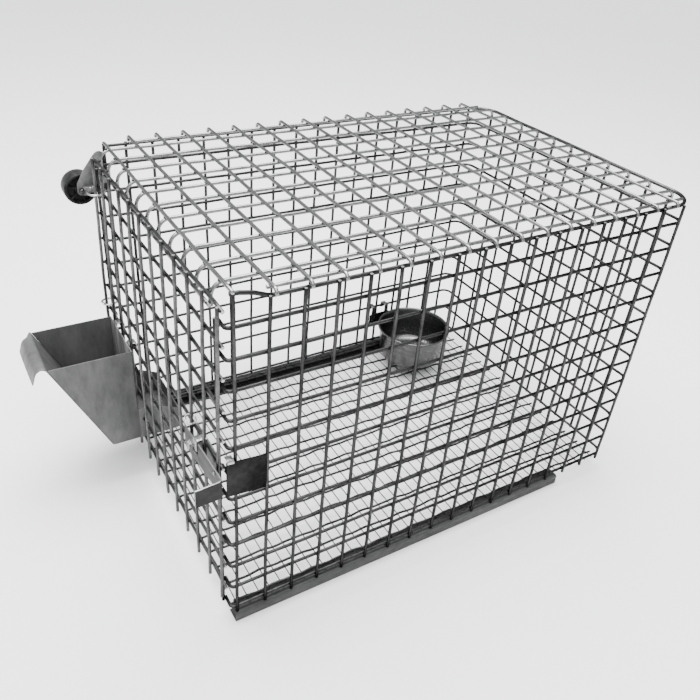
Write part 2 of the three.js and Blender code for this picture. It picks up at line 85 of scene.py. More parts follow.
# door: uprights outside, rows behind them
DOOR_X = -12.3
DOOR_ROW_X = -9.8
DOOR_Y = [25.8 * k for k in range(12)]
DOOR_ROWS = [49 + 25.7 * k for k in range(11)]
HINGE_Y = DOOR_Y[-1]

# hopper: its two sides in y, then its back, rim, floor and front
HOPPER_NEAR = 199
HOPPER_FAR = 266
HOPPER_BACK = -14.3
HOPPER_RIM = 153
HOPPER_FLOOR = 51.2
HOPPER_FRONT = -88
HOPPER_FOOT = -40
SHEET = 0.9

dice = random.Random(11)

# ---- mesh building ------------------------------------------------------------------------

# the material slots of a wire piece
WIRE, CUT_END, WELD = 0, 1, 2
# a cut end's bevel, as a share of the wire's radius
TIP_BEVEL = 0.22
WELD_R = 1.35
# a weld bead is flattened across the axis on which its two wires are stacked
FLAT_X, FLAT_Y, FLAT_Z = (0.7, 1.1, 1.1), (1.1, 0.7, 1.1), (1.1, 1.1, 0.7)
GOLDEN = (1 + 5 ** 0.5) / 2
BEAD_POINTS = (
    (-1, GOLDEN, 0), (1, GOLDEN, 0), (-1, -GOLDEN, 0), (1, -GOLDEN, 0),
    (0, -1, GOLDEN), (0, 1, GOLDEN), (0, -1, -GOLDEN), (0, 1, -GOLDEN),
    (GOLDEN, 0, -1), (GOLDEN, 0, 1), (-GOLDEN, 0, -1), (-GOLDEN, 0, 1),
)
BEAD_FACES = (
    (0, 11, 5), (0, 5, 1), (0, 1, 7), (0, 7, 10), (0, 10, 11), (1, 5, 9), (5, 11, 4),
    (11, 10, 2), (10, 7, 6), (7, 1, 8), (3, 9, 4), (3, 4, 2), (3, 2, 6), (3, 6, 8),
    (3, 8, 9), (4, 9, 5), (2, 4, 11), (6, 2, 10), (8, 6, 7), (9, 8, 1),
)


class Build:
    """Collects faces in cage millimetres, then makes one Blender object of them."""

    def __init__(self):
        self.verts = []
        self.faces = []
        self.smooth = []
        self.mats = []

    def face(self, corners, smooth=True, mat=WIRE):
        self.faces.append(corners)
        self.smooth.append(smooth)
        self.mats.append(mat)

    def tube(self, path, radius=WIRE_R, sides=8):
        """A round wire along a path, its cut ends slightly bevelled."""
        last = len(path) - 1
        tangents = [(path[min(i + 1, last)] - path[max(i - 1, 0)]).normalized() for i in range(last + 1)]
        side = tangents[0].orthogonal().normalized()
        rings = []
        bevel = radius * TIP_BEVEL

        def ring(centre, tangent, across, r):
            up = tangent.cross(across).normalized()
            first = len(self.verts)
            for k in range(sides):
                angle = 2 * math.pi * k / sides
                spoke = across * (r * math.cos(angle)) + up * (r * math.sin(angle))
                self.verts.append(centre + spoke)
            rings.append(first)

        for i, p in enumerate(path):
            t = tangents[i]
            if i:
                side = tangents[i - 1].rotation_difference(t) @ side
            side = (side - t * side.dot(t)).normalized()
            if i == 0:
                ring(p, t, side, radius - bevel)
                ring(p + t * bevel, t, side, radius)
            elif i == last:
                ring(p - t * bevel, t, side, radius)
                ring(p, t, side, radius - bevel)
            else:
                ring(p, t, side, radius)
        for a, b in zip(rings, rings[1:]):
            for k in range(sides):
                n = (k + 1) % sides
                self.face((a + k, a + n, b + n, b + k))
        self.face(tuple(rings[0] + k for k in reversed(range(sides))), False, CUT_END)
        self.face(tuple(rings[-1] + k for k in range(sides)), False, CUT_END)

    def weld(self, x, y, z, flat):
        """A small uneven bead where two wires are welded."""
        first = len(self.verts)
        for p in BEAD_POINTS:
            v = Vector(p).normalized() * (WELD_R * dice.uniform(0.92, 1.08))
            self.verts.append(Vector((x, y, z)) + Vector((v.x * flat[0], v.y * flat[1], v.z * flat[2])))
        for t in BEAD_FACES:
            self.face(tuple(first + k for k in t), True, WELD)

    def make(self, name, materials):
        """The object; a piece with fewer materials than slots uses its last one for the rest."""
        mesh = bpy.data.meshes.new(name)
        mesh.from_pydata([at(*v) for v in self.verts], [], self.faces)
        mesh.polygons.foreach_set("use_smooth", self.smooth)
        for material in materials:
            mesh.materials.append(material)
        top = len(materials) - 1
        mesh.polygons.foreach_set("material_index", [min(m, top) for m in self.mats])
        mesh.validate()
        mesh.update()
        obj = bpy.data.objects.new(name, mesh)
        bpy.context.scene.collection.objects.link(obj)
        return obj


# the share of a side that an arc may take up, and the slightest corner worth rounding
ROOM = 0.98
LEAST_TURN, LEAST_REACH = 1e-3, 1e-4


def rounded(points, radii, steps=6):
    """A path through the points with an arc at each inner corner, no longer than its sides allow."""
    points = [Vector(p) for p in points]
    if not isinstance(radii, (list, tuple)):
        radii = [radii] * (len(points) - 2)
    path = [points[0]]
    for i in range(1, len(points) - 1):
        corner = points[i]
        into = (corner - points[i - 1]).normalized()
        out = (points[i + 1] - corner).normalized()
        turn = into.angle(out)
        room = min((corner - points[i - 1]).length, (points[i + 1] - corner).length) * ROOM
        reach = min(radii[i - 1] * math.tan(turn / 2), room)
        if turn < LEAST_TURN or reach < LEAST_REACH:
            path.append(corner)
            continue
        radius = reach / math.tan(turn / 2)
        start = corner - into * reach
        axis = into.cross(out).normalized()
        centre = start + axis.cross(into).normalized() * radius
        for k in range(steps + 1):
            turned = Quaternion(axis, turn * k / steps) @ (start - centre)
            path.append(centre + turned)
    path.append(points[-1])
    return path


def drawn(path, sway=0.22, step=12.5):
    """Splits a path's long stretches and adds a slow and a quick wander, as drawn wire has."""
    slow, quick, quick_turns = 0.7, 0.3, 4.6
    shortest, longest = 60, 190
    fine = [path[0]]
    for a, b in zip(path, path[1:]):
        pieces = max(1, round((b - a).length / step))
        fine += [a.lerp(b, (k + 1) / pieces) for k in range(pieces)]
    phases = [dice.uniform(0, 2 * math.pi) for _ in range(6)]
    lengths = [dice.uniform(shortest, longest) for _ in range(6)]
    total = 0
    out = []
    for i, p in enumerate(fine):
        if i:
            total += (p - fine[i - 1]).length
        moved = Vector([
            sway * slow * math.sin(2 * math.pi * total / lengths[j] + phases[j])
            + sway * quick * math.sin(quick_turns * math.pi * total / lengths[j + 3] + phases[j + 3])
            for j in range(3)
        ])
        out.append(p + moved)
    return out


def straight(start, end, sway=0.22, step=12.5):
    return drawn([Vector(start), Vector(end)], sway, step)


def bevel_edges(obj, width):
    mod = obj.modifiers.new("edges", "BEVEL")
    mod.width = width / 1000
    mod.segments = 2
    mod.limit_method = "ANGLE"
    mod.angle_limit = math.radians(35)


def applied(obj):
    """Leaves the object with its modifiers' result as its own mesh."""
    graph = bpy.context.evaluated_depsgraph_get()
    mesh = bpy.data.meshes.new_from_object(obj.evaluated_get(graph))
    obj.modifiers.clear()
    obj.data = mesh
    return obj


def smooth_by_angle(obj, angle):
    """Turns the faces outwards and shades them smoothly across edges flatter than the angle."""
    obj.data.polygons.foreach_set("use_smooth", [True] * len(obj.data.polygons))
    bm = bmesh.new()
    bm.from_mesh(obj.data)
    bmesh.ops.recalc_face_normals(bm, faces=bm.faces)
    limit = math.radians(angle)
    for edge in bm.edges:
        edge.smooth = len(edge.link_faces) == 2 and edge.calc_face_angle(0) < limit
    bm.to_mesh(obj.data)
    bm.free()
    return obj


def sheet_part(name, spread, ss, ts, thickness, material, holes, rim):
    """Sheet metal: a grid over (s, t), placed by spread(s, t), then thickened and bevelled.

    A hole is (s low, s high, t low, t high), and rim is the material of the cut edges."""
    build = Build()
    rows = len(ts)
    for s in ss:
        for t in ts:
            build.verts.append(Vector(spread(s, t)))
    for i in range(len(ss) - 1):
        for j in range(rows - 1):
            middle = ((ss[i] + ss[i + 1]) / 2, (ts[j] + ts[j + 1]) / 2)
            if not any(h[0] < middle[0] < h[1] and h[2] < middle[1] < h[3] for h in holes):
                a = i * rows + j
                build.face((a, a + rows, a + rows + 1, a + 1))
    obj = build.make(name, [material, rim] if rim else [material])
    bm = bmesh.new()
    bm.from_mesh(obj.data)
    bmesh.ops.delete(bm, geom=[v for v in bm.verts if not v.link_faces], context="VERTS")
    bm.to_mesh(obj.data)
    bm.free()
    thick = obj.modifiers.new("thickness", "SOLIDIFY")
    thick.thickness = thickness / 1000
    thick.offset = -1
    thick.use_even_offset = True
    thick.material_offset_rim = 1 if rim else 0
    bevel_edges(obj, 0.22)
    return smooth_by_angle(applied(obj), 40)


# a length next to nothing, and the least distance between two lines of a sheet's grid
TINY = 1e-9
LEAST_STEP = 0.02


def along(path):
    """A function that gives the point at a distance along a path, and its corners' distances."""
    marks = [0]
    for a, b in zip(path, path[1:]):
        marks.append(marks[-1] + (b - a).length)

    def point(s):
        s = min(max(s, 0), marks[-1])
        for i in range(len(marks) - 1):
            if s <= marks[i + 1] + TINY:
                share = (s - marks[i]) / max(marks[i + 1] - marks[i], TINY)
                return path[i].lerp(path[i + 1], share)
        return path[-1]

    return point, marks


def steps(start, end, count):
    return [start + (end - start) * k / count for k in range(count + 1)]


def folded(name, outline, spread, ts, radii, thickness, material, holes=(), extra=(), rim=None):
    """A folded strip: outline corners rounded, carried across ts by spread(point, t).

    extra are further distances along the outline at which the grid is cut, such as a hole's ends."""
    path = rounded([Vector((a, b, 0)) for a, b in outline], radii)
    point, marks = along(path)
    ss = sorted(set([round(m, 4) for m in marks] + list(extra)))
    clean = [ss[0]]
    for s in ss[1:]:
        if s - clean[-1] > LEAST_STEP:
            clean.append(s)
    return sheet_part(name, lambda s, t: spread(point(s), t), clean, ts, thickness, material, holes, rim)


def plate(name, outline, thickness, place, material, bevel=0.25, holes=()):
    """A flat plate with any outline and round holes (x, y, radius), put in place and bevelled."""
    bm = bmesh.new()
    turns = [2 * math.pi * k / 20 for k in range(20)]
    loops = [outline]
    for cx, cy, r in holes:
        loops.append([(cx + r * math.cos(a), cy + r * math.sin(a)) for a in turns])
    edges = []
    for loop in loops:
        verts = [bm.verts.new((a, b, 0)) for a, b in loop]
        edges += [bm.edges.new((verts[i], verts[(i + 1) % len(verts)])) for i in range(len(verts))]
    filled = bmesh.ops.triangle_fill(bm, use_beauty=True, use_dissolve=False, edges=edges)
    faces = [g for g in filled["geom"] if isinstance(g, bmesh.types.BMFace)]
    moved = bmesh.ops.extrude_face_region(bm, geom=faces)
    top = [g for g in moved["geom"] if isinstance(g, bmesh.types.BMVert)]
    bmesh.ops.translate(bm, verts=top, vec=(0, 0, thickness))
    for vert in bm.verts:
        vert.co = at(*place(vert.co.x, vert.co.y, vert.co.z))
    bmesh.ops.recalc_face_normals(bm, faces=bm.faces)
    mesh = bpy.data.meshes.new(name)
    bm.to_mesh(mesh)
    bm.free()
    mesh.materials.append(material)
    obj = bpy.data.objects.new(name, mesh)
    bpy.context.scene.collection.objects.link(obj)
    bevel_edges(obj, bevel)
    return smooth_by_angle(applied(obj), 35)


def lathe(name, profile, place, material, count=64, closed=True):
    """A turned solid: (radius, height) profile, spun and placed by place(x, y, height)."""
    build = Build()
    rings = []
    for r, h in profile:
        if r == 0:
            rings.append([len(build.verts)])
            build.verts.append(Vector(place(0, 0, h)))
            continue
        rings.append(list(range(len(build.verts), len(build.verts) + count)))
        for k in range(count):
            angle = 2 * math.pi * k / count
            build.verts.append(Vector(place(r * math.cos(angle), r * math.sin(angle), h)))
    pairs = list(zip(rings, rings[1:]))
    if closed:
        pairs.append((rings[-1], rings[0]))
    for a, b in pairs:
        for k in range(count):
            n = (k + 1) % count
            if len(a) == 1:
                build.face((a[0], b[n], b[k]))
            elif len(b) == 1:
                build.face((a[k], a[n], b[0]))
            else:
                build.face((a[k], a[n], b[n], b[k]))
    return smooth_by_angle(build.make(name, [material]), 45)


# ---- materials -----------------------------------------------------------------------------


def new_material(name):
    material = bpy.data.materials.new(name)
    material.use_nodes = True
    tree = material.node_tree
    tree.nodes.clear()
    out = tree.nodes.new("ShaderNodeOutputMaterial")
    shader = tree.nodes.new("ShaderNodeBsdfPrincipled")
    tree.links.new(shader.outputs["BSDF"], out.inputs["Surface"])
    coords = tree.nodes.new("ShaderNodeTexCoord")
    return material, tree, shader, coords.outputs["Object"]


def noise(tree, vector, scale, detail=4, rough=0.55, stretch=(1, 1, 1)):
    mapping = tree.nodes.new("ShaderNodeMapping")
    mapping.inputs["Scale"].default_value = stretch
    node = tree.nodes.new("ShaderNodeTexNoise")
    node.inputs["Scale"].default_value = scale
    node.inputs["Detail"].default_value = detail
    node.inputs["Roughness"].default_value = rough
    tree.links.new(vector, mapping.inputs["Vector"])
    tree.links.new(mapping.outputs["Vector"], node.inputs["Vector"])
    return node.outputs["Fac"]


def ramp(tree, value, low, high, from_low, from_high):
    node = tree.nodes.new("ShaderNodeMapRange")
    node.inputs["From Min"].default_value = from_low
    node.inputs["From Max"].default_value = from_high
    node.inputs["To Min"].default_value = low
    node.inputs["To Max"].default_value = high
    tree.links.new(value, node.inputs["Value"])
    return node.outputs["Result"]


def tint(tree, value, dark, light):
    """A colour between dark and light; a Mix node's colour sockets are found only by number."""
    factor, colour_a, colour_b, mixed = 0, 6, 7, 2
    node = tree.nodes.new("ShaderNodeMix")
    node.data_type = "RGBA"
    node.inputs[colour_a].default_value = (*dark, 1)
    node.inputs[colour_b].default_value = (*light, 1)
    tree.links.new(value, node.inputs[factor])
    return node.outputs[mixed]


def combine(tree, a, b, mode="MULTIPLY"):
    node = tree.nodes.new("ShaderNodeMath")
    node.operation = mode
    tree.links.new(a, node.inputs[0])
    if isinstance(b, (int, float)):
        node.inputs[1].default_value = b
    else:
        tree.links.new(b, node.inputs[1])
    return node.outputs[0]


def bump(tree, height, shader, strength, distance):
    node = tree.nodes.new("ShaderNodeBump")
    node.inputs["Strength"].default_value = strength
    node.inputs["Distance"].default_value = distance
    tree.links.new(height, node.inputs["Height"])
    tree.links.new(node.outputs["Normal"], shader.inputs["Normal"])


def grey(value):
    return (value, value, value)


# what clouds and grain each add to a mixed noise, and the values between which nearly all of it lies
CLOUD_SHARE, GRAIN_SHARE = 0.55, 0.45
NOISE_LOW, NOISE_HIGH = 0.36, 0.64
BUMP_DEPTH = 0.0003
# how far a finish's noise is drawn out along an axis
ALONG_X, ALONG_Y, ALONG_Z, FAR_ALONG_Z = (0.4, 1, 1), (1, 0.4, 1), (1, 1, 0.35), (1, 1, 0.1)


def metal(name, shades, rough, spot, cloud=28, streak=(1, 1, 1), strength=0.25, metallic=1.0, edge=0.3):
    """Zinc or steel: cloudy mottling, fine grain, uneven gloss and a shallow bump.

    shades and rough are (lowest, highest), spot and cloud are the noises' scales, streak stretches
    both noises, strength is the bump's, and edge is how bright a grazing reflection stays."""
    material, tree, shader, coords = new_material(name)
    clouds = noise(tree, coords, cloud, 3, 0.5, streak)
    grain = noise(tree, coords, spot, 6, 0.65, streak)
    mixed = combine(tree, combine(tree, clouds, CLOUD_SHARE), combine(tree, grain, GRAIN_SHARE), "ADD")
    shade = ramp(tree, mixed, 0, 1, NOISE_LOW, NOISE_HIGH)
    gloss = ramp(tree, mixed, rough[1], rough[0], NOISE_LOW, NOISE_HIGH)
    tree.links.new(tint(tree, shade, grey(shades[0]), grey(shades[1])), shader.inputs["Base Color"])
    tree.links.new(gloss, shader.inputs["Roughness"])
    shader.inputs["Metallic"].default_value = metallic
    shader.inputs["Specular Tint"].default_value = (edge, edge, edge, 1)
    bump(tree, grain, shader, strength, BUMP_DEPTH)
    return material


# One galvanised wire in lit and shaded copies: the walls', the door's and the end frame's wire are darkened,
# a painted shade, the walls' most; the roof's is lightened, painted light where its tops face the overhead
# lamp.
wall_wire_painted_shade = metal("wall_wire_painted_shade", (0.022, 0.06), (0.24, 0.38), 420, 60)
door_wire_painted_shade = metal("door_wire_painted_shade", (0.045, 0.12), (0.24, 0.38), 420, 60, edge=0.6)
roof_wire_painted_light = metal("roof_wire_painted_light", (0.15, 0.32), (0.2, 0.32), 420, 60, edge=0.6)
frame_wire_painted_shade = metal("frame_wire_painted_shade", (0.05, 0.12), (0.2, 0.32), 420, 60)
cut_steel = metal("cut_steel", (0.3, 0.5), (0.3, 0.45), 900)
weld_scale = metal("weld_scale", (0.03, 0.1), (0.4, 0.6), 900, strength=0.5)
floor_zinc = metal("floor_zinc", (0.016, 0.06), (0.3, 0.46), 500, 45)
hopper_sheet = metal("hopper_sheet", (0.066, 0.124), (0.38, 0.54), 150, 34, ALONG_Z, 0.12, 0.35)
hopper_streak = metal("hopper_streak", (0.04, 0.3), (0.36, 0.5), 150, 90, FAR_ALONG_Z, 0.12, 0.4)
trough_sheet = metal("trough_sheet", (0.06, 0.13), (0.38, 0.54), 150, 34, ALONG_Z, 0.12, 0.4)
dark_sheet = metal("dark_sheet", (0.012, 0.028), (0.36, 0.5), 240, 40, strength=0.12)
strap_sheet = metal("strap_sheet", (0.014, 0.03), (0.3, 0.44), 240, 40, ALONG_Y, 0.12, edge=0.75)
runner_sheet = metal("runner_sheet", (0.028, 0.07), (0.36, 0.54), 260, 30, ALONG_X, 0.15, 0.4)
bright_steel = metal("bright_steel", (0.3, 0.55), (0.2, 0.34), 500, 90)
cup_steel = metal("cup_steel", (0.08, 0.16), (0.2, 0.32), 300, 30, (0.3, 0.3, 1), 0.06, edge=0.8)
pin_steel = metal("pin_steel", (0.05, 0.12), (0.3, 0.42), 500, 90)
bracket_sheet = metal("bracket_sheet", (0.08, 0.19), (0.32, 0.46), 260, 50, (1, 1, 0.6), 0.12, 0.5)


def wheel_plastic():
    """Black moulded plastic, dusty and scuffed on its tread."""
    material, tree, shader, coords = new_material("wheel_plastic")
    grain = noise(tree, coords, 1400, 4, 0.6)
    scuff = noise(tree, coords, 260, 5, 0.7)
    dust = ramp(tree, scuff, 0, 1, 0.42, 0.72)
    tree.links.new(tint(tree, dust, grey(0.005), grey(0.028)), shader.inputs["Base Color"])
    tree.links.new(ramp(tree, scuff, 0.34, 0.62, 0.35, 0.7), shader.inputs["Roughness"])
    shader.inputs["Specular IOR Level"].default_value = 0.12
    bump(tree, grain, shader, 0.25, 0.0002)
    return material


black_plastic = wheel_plastic()

# ---- wall mesh -------------------------------------------------------------------------------

WALL = [wall_wire_painted_shade, cut_steel, weld_scale]
LIP_OVERHANG = 1.4
TOP_ROW_END = 404
NEAR_CORNER_TOP = 316.4
FAR_CORNER_TOP = 309.4


def wall_mesh():
    """Both side walls, the blind end and the doorway's side lips: a row is one belt round them."""
    build = Build()
    far_y = WIDTH - ROW_Y
    for z in SIDE_ROWS:
        belt = rounded([
            (LIP_X, LIP_UPRIGHT_Y + LIP_OVERHANG, z),
            (LIP_X, ROW_Y, z),
            (END_X, ROW_Y, z),
            (END_X, far_y, z),
            (LIP_X, far_y, z),
            (LIP_X, WIDTH - LIP_UPRIGHT_Y - LIP_OVERHANG, z),
        ], [3.4, 9, 9, 3.4])
        build.tube(drawn(belt))
    for wall_y, out in ((0, -1), (WIDTH, 1)):
        upright_y = wall_y + out * ROW_Y
        for k in range(UPRIGHTS):
            foot = Vector((k * PITCH, upright_y, UPRIGHT_FOOT))
            top = Vector((k * PITCH, upright_y, SIDE_TOP + 1.3))
            if k == 0 and out < 0:
                top.z = NEAR_CORNER_TOP
            elif k == 0:
                # the far corner's wire leans away from the doorway
                foot.x += 1.6
                top.x += 5.4
                top.z = FAR_CORNER_TOP
            build.tube(drawn([foot, top]))
            for z in SIDE_ROWS:
                build.weld(k * PITCH, wall_y, z, FLAT_Y)
        lip_y = wall_y - out * LIP_UPRIGHT_Y
        build.tube(straight((LIP_UPRIGHT_X, lip_y, 13.8), (LIP_UPRIGHT_X, lip_y, 292.8)))
    for k in range(END_UPRIGHTS):
        y = (k + 1) * PITCH
        build.tube(straight((END_UPRIGHT_X, y, UPRIGHT_FOOT), (END_UPRIGHT_X, y, 306.4)))
        for z in SIDE_ROWS:
            build.weld((END_X + END_UPRIGHT_X) / 2, y, z, FLAT_X)
    # top rows: the near one kinks up at the doorway, over the corner upright
    near_top = rounded([
        (TOP_ROW_END, ROW_Y, SIDE_TOP), (26, ROW_Y, SIDE_TOP), (15, ROW_Y, SIDE_TOP + 4.6),
        (5, ROW_Y + 0.6, SIDE_TOP + 6.4), (-1.4, ROW_Y + 1.4, SIDE_TOP + 6.2),
    ], [14, 14, 6])
    build.tube(drawn(near_top, 0.12), 1.65)
    build.tube(straight((TOP_ROW_END, far_y, SIDE_TOP), (3.6, far_y, SIDE_TOP)), 1.4)
    return build.make("wall_mesh", WALL)


def roof_panel():
    """The roof, whose wires bend down at their ends, and the doorway's top lip."""
    build = Build()
    tip_y, tip_z = -3.4, 309.8
    for i, x in enumerate(ROOF_X):
        if i:
            bend = 3.6
            path = [
                (x, tip_y, tip_z), (x, tip_y, CROSS_Z),
                (x, WIDTH - tip_y, CROSS_Z), (x, WIDTH - tip_y, tip_z - i % 2),
            ]
        else:
            # the doorway's wire starts short of the near corner and droops to the far one
            bend = 60
            path = [
                (x, 3.6, CROSS_Z + 0.5), (x + 0.4, 150, CROSS_Z),
                (x + 3, WIDTH - 8, CROSS_Z - 2.2), (x + 3.6, WIDTH + 1.2, CROSS_Z - 3.6),
            ]
        build.tube(drawn(rounded(path, bend)))
        for y in ROOF_Y:
            build.weld(x, y, (CROSS_Z + LONG_Z) / 2, FLAT_Z)
    end_x = 441.8
    for i, y in enumerate(ROOF_Y):
        path = [(LIP_X, y, 295.2), (LIP_X, y, LONG_Z), (end_x, y, LONG_Z), (end_x, y, 302.4 - 1.2 * (i % 3))]
        build.tube(drawn(rounded(path, [9.5, 7], 10)))
        build.weld((LIP_X + LIP_UPRIGHT_X) / 2, y, LIP_TOP, FLAT_X)
    for y in (6.5, WIDTH - 6.5):
        build.tube(straight((26, y, LONG_Z), (431, y, LONG_Z)))
    build.tube(straight((LIP_UPRIGHT_X, ROOF_Y[0] - 3, LIP_TOP), (LIP_UPRIGHT_X, ROOF_Y[-1] + 3, LIP_TOP)))
    return build.make("roof_panel", [roof_wire_painted_light, cut_steel, weld_scale])


def end_frame_wire():
    """The thicker wire that runs round the blind end's top and meets both top rows."""
    build = Build()
    far_y = WIDTH - ROW_Y
    start_x, sag = TOP_ROW_END + 0.4, SIDE_TOP + 0.6
    path = rounded([
        (start_x, ROW_Y, SIDE_TOP), (TOP_WIRE_X, ROW_Y, sag),
        (TOP_WIRE_X, far_y, sag), (start_x, far_y, SIDE_TOP),
    ], TOP_CORNER_R, 14)
    build.tube(drawn(path, 0.15), 1.7, 10)
    return build.make("end_frame_wire", [frame_wire_painted_shade, cut_steel])


def floor_grid():
    """Fine crosswise wires with heavier crimped ones along the cage on top of them."""
    build = Build()
    across, crosswise_r = 41, 0.55
    for k in range(across):
        x = 2.5 + k * (LENGTH - 5) / (across - 1)
        build.tube(straight((x, 1.2, 12.6), (x, WIDTH - 1.2, 12.6), 0.3, 25), crosswise_r, 6)
    lengthwise_r, spacing = 1.15, 19
    for k in range(16):
        y = 7.5 + k * spacing
        line = straight((0, y, 14.4), (LENGTH, y, 14.4), 0.3, 5.3)
        lag = dice.uniform(0, 2 * math.pi)
        for p in line:
            # crimped over and under two gaps of the crosswise wires, and weaving sideways
            p.z += 0.35 * math.sin(2 * math.pi * p.x / 21 + lag)
            p.y += 0.55 * math.sin(2 * math.pi * p.x / 37 + 2 * lag)
        build.tube(line, lengthwise_r, 6)
    return build.make("floor_grid", [floor_zinc, cut_steel])


def runner(name, wall_y, inward):
    """A slightly wavy C section under a side wall, open towards the cage's middle."""
    outline = [(11, 0.6), (-1.8, 0.6), (-1.8, 10.8), (9, 10.8)]

    def spread(p, t):
        web_wave = 0.075 * math.sin(t / 57 + wall_y)
        flange_wave = 0.12 * math.sin(t / 41) if p.y > 6 else 0
        return t, wall_y + inward * (p.x + web_wave), p.y + flange_wave

    return folded(name, outline, spread, steps(-2, 366, 40), 1.4, 1.2 * inward, runner_sheet)


# ---- door ----------------------------------------------------------------------------------


def door_panel():
    """The flat door, with a window cut for the trough."""
    build = Build()
    sway = 0.3
    near, far = HOPPER_NEAR - 1.5, HOPPER_FAR + 1.5
    sill, head = 50.6, DOOR_ROWS[2] - 1.6
    foot, top = DOOR_ROWS[0] - 12, DOOR_ROWS[-1] + 2.4
    row_start, row_end = -3, HINGE_Y + 1.6
    for y in DOOR_Y:
        spans = [(foot, sill), (head, top)] if near < y < far else [(foot, top)]
        bow = 1.6 if y == HINGE_Y else 0
        for a, b in spans:
            # the free ends are cut unevenly
            start = a + dice.uniform(-0.8, 0.8) * (a == foot)
            end = b + dice.uniform(-0.5, 0.5) * (b == top)
            line = straight((DOOR_X, y, start), (DOOR_X, y, end), sway)
            for p in line:
                p.y += bow * math.sin(math.pi * (p.z - foot) / (top - foot))
            build.tube(line)
    for z in DOOR_ROWS:
        cut = sill < z < head
        for a, b in [(row_start, near), (far, row_end)] if cut else [(row_start, row_end)]:
            build.tube(straight((DOOR_ROW_X, a, z), (DOOR_ROW_X, b, z), sway))
        for y in DOOR_Y:
            if not (cut and near < y < far):
                build.weld((DOOR_X + DOOR_ROW_X) / 2, y, z, FLAT_X)
    # the door's upper half leans out, and its far top corner droops
    lean, droop, lean_start, lean_height = 2.4, 4.5, 180, 126
    for p in build.verts:
        share = min(max((p.z - lean_start) / lean_height, 0), 1)
        p.x += lean * share
        p.z -= droop * share * p.y / HINGE_Y
    return build.make("door_panel", [door_wire_painted_shade, cut_steel, weld_scale])


def hinge_clip(name, z, lean, size=7.3, start=205):
    """A wire clip pinched round the door's last upright and the lip's, its ends lapped."""
    centre = Vector((-9.5, 285.4, z))
    count, sweep, lap, climb = 30, 372, 27, 1.5
    path = []
    for k in range(count + 1):
        angle = math.radians(start + sweep * k / count)
        reach = size - 0.35 * max(k - lap, 0)
        path.append(centre + Vector((
            reach * math.cos(angle), reach * math.sin(angle),
            lean * math.sin(angle) + (k / count - 0.5) * climb,
        )))
    build = Build()
    build.tube(path, 0.95, 10)
    return build.make(name, [bright_steel, cut_steel])


# the latch strap's inner face, its lower and upper edge, and the screw through its slot
STRAP_X = -15.5
STRAP_LOW, STRAP_MIDDLE, STRAP_HIGH = 156, 166, 176
SCREW_Y, SCREW_Z = 43, 167.4


def latch_strap():
    """A strap along the door, slotted for its screw and folded out into a finger tab."""
    start, end, tab_x = 56, -17, STRAP_X - 20.5

    def spread(p, t):
        # the strap slopes up and narrows towards the tab, which droops a little outwards
        rise = 7.6 * (start - p.y) / 71
        out = max(STRAP_X - 2 - p.x, 0) / 17
        taper = 1 - 0.2 * min(max((20 - p.y) / 35, 0), 1)
        return p.x, p.y, (t - STRAP_MIDDLE) * taper + STRAP_MIDDLE + rise - 1.1 * out

    # the slot is low enough for the sloping strap to slide past its screw
    slot = (start - 45.2, start - 28.8, 162.7, 168.1)
    # The cut edges get bright cut steel: partly the bare edge of the sheet, partly a painted highlight where
    # the bevelled rim catches the light.
    return folded(
        "latch_strap_piece", [(STRAP_X, start), (STRAP_X, end), (tab_x, end)], spread,
        [STRAP_LOW, STRAP_LOW + 0.8, slot[2], slot[3], STRAP_HIGH - 0.8, STRAP_HIGH],
        3.6, -1.2, strap_sheet, [slot], slot[:2], cut_steel,
    )


def latch_screw():
    """A six-sided head with a chamfer, on a washer of the same shape."""
    build = Build()
    base = STRAP_X - 1.3
    head = []
    for x, r in ((0, 4.2), (-0.5, 4.2), (-0.5, 3.6), (-2.4, 3.6), (-2.9, 3.0)):
        head.append(len(build.verts))
        for k in range(6):
            angle = math.pi * k / 3 + 0.3
            y, z = SCREW_Y + r * math.cos(angle), SCREW_Z + r * math.sin(angle)
            build.verts.append(Vector((base + x, y, z)))
    for a, b in zip(head, head[1:]):
        for k in range(6):
            n = (k + 1) % 6
            build.face((a + k, b + k, b + n, a + n), False)
    build.face(tuple(head[0] + k for k in range(6)), False)
    build.face(tuple(head[-1] + k for k in reversed(range(6))), False)
    build.tube([Vector((base - 0.2, SCREW_Y, SCREW_Z)), Vector((-8.4, SCREW_Y, SCREW_Z))], 1.7, 12)
    return build.make("screw", [bright_steel, cut_steel])


def latch_guide():
    """A bright clip that reaches from the backplate over the strap's upper edge."""
    outer, over = STRAP_X - 1.4, STRAP_HIGH + 4.6
    return folded(
        "guide_bridge", [(-8.3, over), (outer, over), (outer, STRAP_HIGH - 4.4)],
        lambda p, t: (p.x, t, p.y), steps(29, 35, 2), 1.2, 0.9, bright_steel,
    )


def latch_backplate():
    return plate(
        "backplate", [(16.5, 154), (54, 154), (54, 177), (16.5, 177)], 1.2,
        lambda a, b, c: (-8 + c, a, b), bracket_sheet,
    )


def latch_eyelet():
    """A small wire eyelet round the door's third upright, above the strap."""
    loop = []
    for k in range(25):
        angle = 2 * math.pi * k / 24 * 0.97
        loop.append(Vector((
            -14.2 + 4 * math.cos(angle), 48.4 + 4.4 * math.sin(angle), 187 + 1.2 * math.sin(angle),
        )))
    build = Build()
    build.tube(loop, 0.8, 10)
    return build.make("eyelet", [bright_steel, cut_steel])


def strap_stud():
    """The bright end of a rivet in the strap, near the tab."""
    build = Build()
    build.tube([Vector((STRAP_X - 2.0, -3, 177.4)), Vector((STRAP_X - 1.1, -3, 177.4))], 1.4, 14)
    return build.make("strap_stud", [bright_steel, cut_steel])


